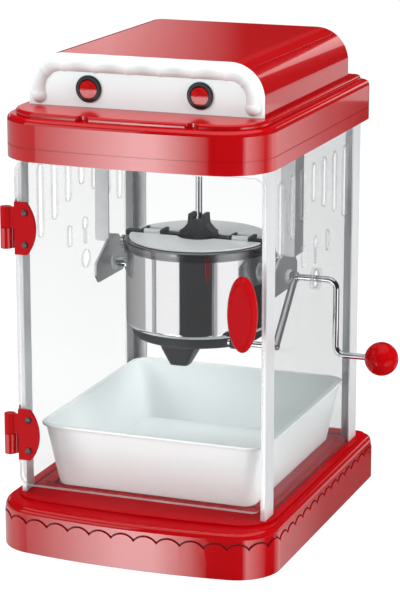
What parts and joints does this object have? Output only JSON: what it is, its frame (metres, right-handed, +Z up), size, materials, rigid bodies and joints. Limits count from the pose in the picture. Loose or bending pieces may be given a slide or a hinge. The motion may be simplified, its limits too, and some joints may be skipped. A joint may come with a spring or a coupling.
{
  "type": "popcorn maker",
  "caption": "Table-top popcorn maker: glazed cabinet on a bowed base, hinged door, tilting kettle with crank, stirrer and lids, catch tray and hood with switches.",
  "frame": {"origin": "on the table, under the middle of the four corner posts", "axes": "+Z up, the door faces -Y, the crank is on the +X side"},
  "size_m": [0.3135, 0.326, 0.43],
  "materials": {
    "red_plastic": "glossy moulded red",
    "red_switch": "translucent red",
    "white_plastic": "glossy white",
    "black_plastic": "satin black",
    "clear_acrylic": "clear polished sheet",
    "aluminium_trim": "satin extrusion",
    "polished_steel": "polished",
    "plated_steel": "zinc plated",
    "dark_enamel": "dark heat-proof coating",
    "foot_rubber": "matte",
    "lamp_glass": "frosted"
  },
  "bodies": {
    "cabinet": {"base_shell": "red_plastic", "base_plate": "black_plastic", "base_screws": "plated_steel", "rubber_feet": "foot_rubber", "post_front_left": "aluminium_trim", "post_front_right": "aluminium_trim", "post_rear_left": "aluminium_trim", "post_rear_right": "aluminium_trim", "side_panel_left": "clear_acrylic", "side_panel_right": "clear_acrylic", "rear_panel": "clear_acrylic", "top_band": "red_plastic", "ceiling_plate": "plated_steel", "hood": "red_plastic", "hood_front_panel": "white_plastic", "hood_screws": "plated_steel", "switch_bezel_left": "black_plastic", "switch_bezel_right": "black_plastic", "motor": "plated_steel", "gearbox": "plated_steel", "lamp_holder": "white_plastic", "lamp_bulb": "lamp_glass", "hanger_left": "plated_steel", "hanger_right": "plated_steel", "hanger_bushes": "white_plastic", "hanger_screws": "plated_steel", "crank_grommet": "clear_acrylic", "cord_gland": "black_plastic", "hinge_fixed_upper": "red_plastic", "hinge_fixed_lower": "red_plastic", "hinge_pins": "polished_steel"},
    "door": {"hinge_leaf_upper": "red_plastic", "hinge_leaf_lower": "red_plastic", "hinge_screws": "plated_steel", "door_panel": "clear_acrylic", "door_handle": "red_plastic", "handle_screw": "plated_steel"},
    "kettle": {"kettle_pot": "polished_steel", "kettle_rim": "polished_steel", "heater_base": "dark_enamel", "heater_plate": "aluminium_trim", "terminal_box": "black_plastic", "trunnion_left": "polished_steel", "trunnion_right": "polished_steel", "crossbar": "polished_steel", "hub_housing": "black_plastic", "wing_nuts": "polished_steel"},
    "crank": {"crank_rod": "polished_steel", "crank_ball": "red_plastic"},
    "stirrer": {"stir_shaft": "polished_steel", "stir_gear": "white_plastic", "stir_paddle": "polished_steel"},
    "drive": {"drive_gear": "white_plastic"},
    "lid_front_half": {"lid_front": "clear_acrylic"},
    "lid_rear_half": {"lid_rear": "clear_acrylic"},
    "rocker_left": {"switch_rocker_left": "red_switch"},
    "rocker_right": {"switch_rocker_right": "red_switch"},
    "tray": {"popcorn_tray": "white_plastic"}
  },
  "joints": [
    {"name": "door_hinge", "type": "hinge", "parent": "cabinet", "child": "door", "pos_m": [-0.1202, -0.137, 0.19], "axis": [0, 0, -1], "range_deg": [0, 135]},
    {"name": "kettle_tilt", "type": "hinge", "parent": "cabinet", "child": "kettle", "pos_m": [0, 0.01, 0.222], "axis": [1, 0, 0], "range_deg": [0, 80]},
    {"name": "crank_turn", "type": "hinge", "parent": "cabinet", "child": "crank", "pos_m": [0.105, 0.01, 0.222], "axis": [1, 0, 0], "range_deg": [0, 80]},
    {"name": "lid_front_flap", "type": "hinge", "parent": "kettle", "child": "lid_front_half", "pos_m": [0, 0.003, 0.2542], "axis": [-1, 0, 0], "range_deg": [0, 75]},
    {"name": "lid_rear_flap", "type": "hinge", "parent": "kettle", "child": "lid_rear_half", "pos_m": [0, 0.017, 0.2542], "axis": [1, 0, 0], "range_deg": [0, 75]},
    {"name": "stir_spin", "type": "hinge", "parent": "kettle", "child": "stirrer", "pos_m": [0, 0.01, 0.25], "axis": [0, 0, 1], "continuous": true},
    {"name": "motor_spin", "type": "hinge", "parent": "cabinet", "child": "drive", "pos_m": [0, 0.03025, 0.33], "axis": [0, 0, 1], "continuous": true},
    {"name": "switch_left_rock", "type": "hinge", "parent": "cabinet", "child": "rocker_left", "pos_m": [-0.05, -0.1168, 0.4012], "axis": [-1, 0, 0], "range_deg": [0, 16]},
    {"name": "switch_right_rock", "type": "hinge", "parent": "cabinet", "child": "rocker_right", "pos_m": [0.05, -0.1168, 0.4012], "axis": [-1, 0, 0], "range_deg": [0, 16]},
    {"name": "tray_slide", "type": "slide", "parent": "cabinet", "child": "tray", "axis": [0, -1, 0], "range_m": [0, 0.015]}
  ],
  "couplings": [
    {"joint": "crank_turn", "follows": "kettle_tilt", "ratio": 1},
    {"joint": "motor_spin", "follows": "stir_spin", "ratio": -1}
  ]
}
